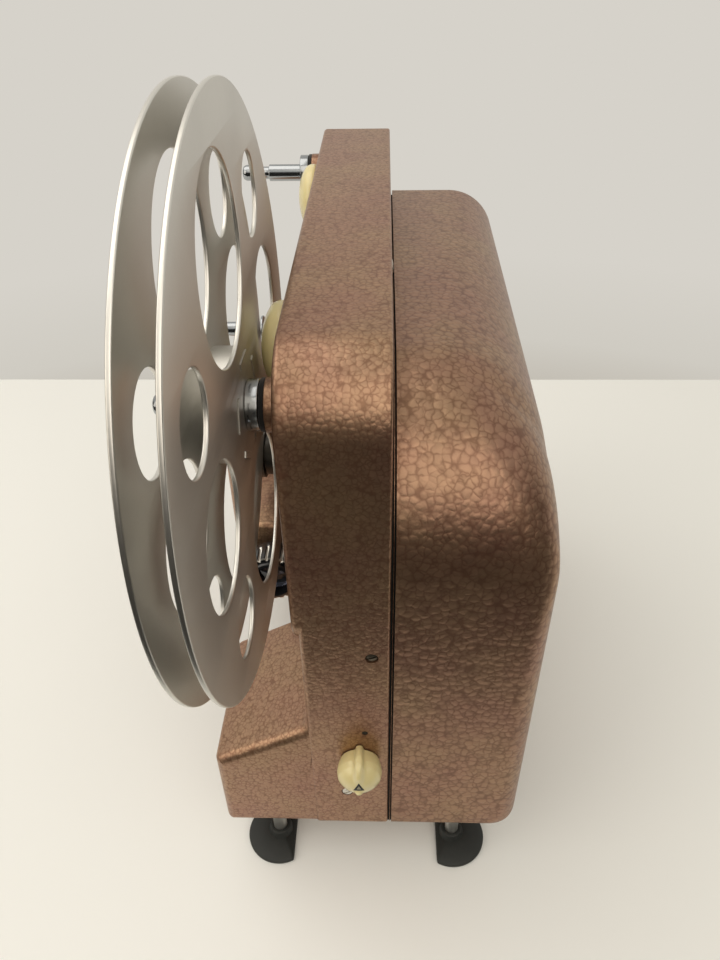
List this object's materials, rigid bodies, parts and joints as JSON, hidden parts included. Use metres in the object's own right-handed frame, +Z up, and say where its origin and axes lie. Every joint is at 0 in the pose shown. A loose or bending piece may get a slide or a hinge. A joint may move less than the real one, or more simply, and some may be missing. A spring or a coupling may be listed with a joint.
{
  "type": "movie projector",
  "caption": "Free-standing narrow-film movie projector with a hammertone body, a perforated reel on its front spindle, cream knobs, a focusing lens, film gate, lamp house and motor drive.",
  "frame": {"origin": "middle of the part's bounding box, on the table plane under the feet", "axes": "+Z up; the lens throws its beam toward -Y; the film side is -X and the motor side +X"},
  "size_m": [0.1376, 0.306, 0.311],
  "materials": {
    "hammertone_paint": "hammertone enamel",
    "plate_black": "satin black",
    "black_rubber": "matte",
    "felt": "matte",
    "chrome": "polished",
    "steel": "brushed",
    "reel_aluminium": "matte anodised",
    "cream_plastic": "gloss",
    "black_paint": "gloss",
    "brass": "satin",
    "black_lens": "semi gloss",
    "glass": "clear",
    "lamp_glass": "clear",
    "ceramic": "glazed",
    "mirror": "polished",
    "fibre": "matte",
    "bakelite": "semi gloss",
    "copper_winding": "lacquered"
  },
  "bodies": {
    "body": {"casting": "hammertone_paint", "film_deck": "hammertone_paint", "mechanism_plate": "hammertone_paint", "seam_gasket": "black_rubber", "hood": "hammertone_paint", "outrigger": "hammertone_paint", "front_screws": "steel", "hood_screws": "steel", "index_dot": "black_paint", "foot_pad_front_left": "black_rubber", "foot_pad_front_right": "black_rubber", "foot_pad_rear_left": "black_rubber", "foot_pad_rear_right": "black_rubber", "foot_stems": "chrome", "front_bush": "brass", "front_washer": "felt", "rear_bush": "brass", "rear_washer": "felt", "rheostat": "bakelite", "gate_frame": "plate_black", "gate_rods": "chrome", "lamp_bracket": "steel", "lamp_socket": "ceramic", "lamp_bulb": "lamp_glass", "reflector": "mirror", "condenser": "glass", "roller_posts": "chrome", "motor": "plate_black", "motor_belt": "black_rubber", "takeup_belt": "black_rubber", "transformer_core": "steel", "transformer_coil": "copper_winding", "mains_inlet": "bakelite"},
    "front_reel": {"front_spindle": "chrome", "front_collar": "chrome", "front_pulley": "steel", "reel_flange_inner": "reel_aluminium", "reel_flange_outer": "reel_aluminium", "reel_hub": "reel_aluminium"},
    "rear_reel_drive": {"rear_spindle": "chrome", "rear_collar": "chrome", "rear_pulley": "steel"},
    "front_tension": {"front_tension_knob": "cream_plastic"},
    "rear_tension": {"rear_tension_knob": "cream_plastic"},
    "speed_control": {"speed_knob": "cream_plastic", "knob_pointer": "black_paint", "knob_shaft": "steel"},
    "lens_carriage": {"lens_block": "hammertone_paint", "pressure_plate": "steel"},
    "lens": {"lens_barrel": "black_lens", "lens_glass": "glass"},
    "focus": {"focus_ring": "black_lens"},
    "lamp_cover": {"lamp_house": "hammertone_paint"},
    "main_drive": {"main_shaft": "steel", "shutter": "plate_black"},
    "motor_armature": {"motor_rotor": "steel"},
    "film_sprocket": {"sprocket": "chrome", "worm_wheel": "fibre"},
    "upper_film_roller": {"upper_roller": "chrome"},
    "lower_film_roller": {"lower_roller": "chrome"}
  },
  "joints": [
    {"name": "front_reel_spin", "type": "hinge", "parent": "body", "child": "front_reel", "pos_m": [-0.0356, -0.064, 0.222], "axis": [1, 0, 0], "continuous": true},
    {"name": "rear_spindle_spin", "type": "hinge", "parent": "body", "child": "rear_reel_drive", "pos_m": [-0.0356, 0.129, 0.242], "axis": [1, 0, 0], "continuous": true},
    {"name": "front_tension_turn", "type": "hinge", "parent": "body", "child": "front_tension", "pos_m": [-0.0222, -0.036, 0.228], "axis": [1, 0, 0], "continuous": true},
    {"name": "rear_tension_turn", "type": "hinge", "parent": "body", "child": "rear_tension", "pos_m": [-0.0222, 0.102, 0.237], "axis": [1, 0, 0], "continuous": true},
    {"name": "speed_turn", "type": "hinge", "parent": "body", "child": "speed_control", "pos_m": [0.00244, -0.096, 0.075], "axis": [0, 1, 0], "range_deg": [-135, 135]},
    {"name": "gate_open", "type": "slide", "parent": "body", "child": "lens_carriage", "axis": [0, -1, 0], "range_m": [0, 0.01]},
    {"name": "lens_focus", "type": "slide", "parent": "lens_carriage", "child": "lens", "axis": [0, -1, 0], "range_m": [-0.0016, 0.0043]},
    {"name": "focus_turn", "type": "hinge", "parent": "lens", "child": "focus", "pos_m": [-0.0359, -0.027, 0.117], "axis": [0, -1, 0], "range_deg": [-90, 240]},
    {"name": "lamp_cover_off", "type": "slide", "parent": "body", "child": "lamp_cover", "axis": [-1, 0, 0], "range_m": [0, 0.055]},
    {"name": "main_spin", "type": "hinge", "parent": "body", "child": "main_drive", "pos_m": [-0.0022, 0.036, 0.117], "axis": [0, 1, 0], "continuous": true},
    {"name": "motor_spin", "type": "hinge", "parent": "body", "child": "motor_armature", "pos_m": [0.0414, 0.07, 0.11], "axis": [0, 1, 0], "continuous": true},
    {"name": "sprocket_spin", "type": "hinge", "parent": "body", "child": "film_sprocket", "pos_m": [-0.0022, 0.0096, 0.153], "axis": [1, 0, 0], "continuous": true},
    {"name": "upper_roller_spin", "type": "hinge", "parent": "body", "child": "upper_film_roller", "pos_m": [-0.0359, 0.0356, 0.201], "axis": [1, 0, 0], "continuous": true},
    {"name": "lower_roller_spin", "type": "hinge", "parent": "body", "child": "lower_film_roller", "pos_m": [-0.0359, 0.0296, 0.061], "axis": [1, 0, 0], "continuous": true}
  ],
  "couplings": [
    {"joint": "motor_spin", "follows": "main_spin", "ratio": 1.6667},
    {"joint": "sprocket_spin", "follows": "main_spin", "ratio": 0.083333},
    {"joint": "lens_focus", "follows": "focus_turn", "m_per_rad": 0.000954}
  ]
}
